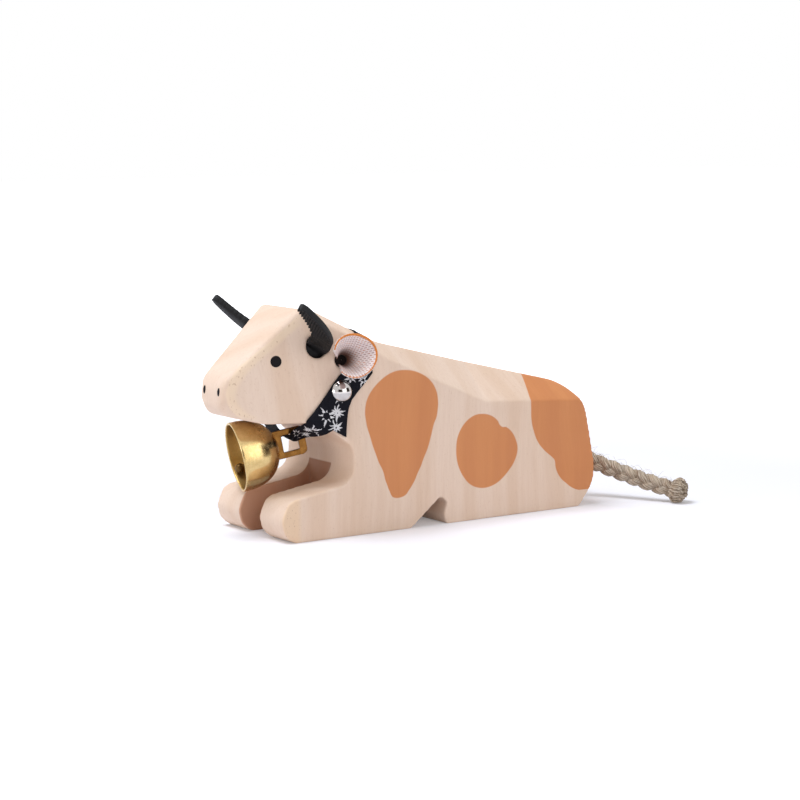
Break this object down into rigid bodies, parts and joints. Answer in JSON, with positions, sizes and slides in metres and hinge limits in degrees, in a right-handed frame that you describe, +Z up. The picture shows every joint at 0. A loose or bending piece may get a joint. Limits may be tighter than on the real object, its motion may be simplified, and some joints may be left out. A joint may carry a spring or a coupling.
{
  "type": "cow figurine",
  "caption": "Lying wooden cow with painted patches, rubber horns, cloth ears, a rope tail, and a brass bell that swings on a ribbon collar.",
  "frame": {"origin": "middle of the underside of the box round the cow, without its rope tail, on the surface it lies on", "axes": "+Z up, the nose points to -X, the cow's left flank is at -Y"},
  "size_m": [0.1682, 0.0673, 0.0752],
  "materials": {
    "maple_wood": "sanded, unvarnished",
    "tan_paint": "thin satin paint on wood",
    "black_paint": "satin paint dots",
    "black_rubber": "ribbed, matte",
    "ear_cloth": "knitted cloth with orange edges",
    "ribbon_cloth": "woven, with white flowers",
    "bright_nickel": "polished dome",
    "polished_brass": "polished, lightly worn",
    "dark_brass": "dull, darkened",
    "jute_rope": "twisted jute, fuzzy"
  },
  "bodies": {
    "body": {"wood_body": "maple_wood", "patch_shoulder": "tan_paint", "patch_flank": "tan_paint", "patch_rump": "tan_paint", "eyes": "black_paint", "nostrils": "black_paint", "horn_left": "black_rubber", "horn_right": "black_rubber", "ear_left": "ear_cloth", "ear_right": "ear_cloth", "collar_ribbon": "ribbon_cloth", "collar_nail": "bright_nickel", "tail_rope": "jute_rope"},
    "bell": {"bell_shell": "polished_brass", "bell_loop": "polished_brass", "bell_hook": "dark_brass"},
    "clapper": {"clapper": "dark_brass"}
  },
  "joints": [
    {"name": "bell_swing", "type": "hinge", "parent": "body", "child": "bell", "pos_m": [-0.04064, -0.00142, 0.02998], "axis": [0, 0, 1], "range_deg": [-5, 38]},
    {"name": "clapper_swing", "type": "hinge", "parent": "bell", "child": "clapper", "pos_m": [-0.04755, 0.00072, 0.02671], "axis": [0.0238, 0.6082, 0.7935], "range_deg": [0, 80]}
  ]
}
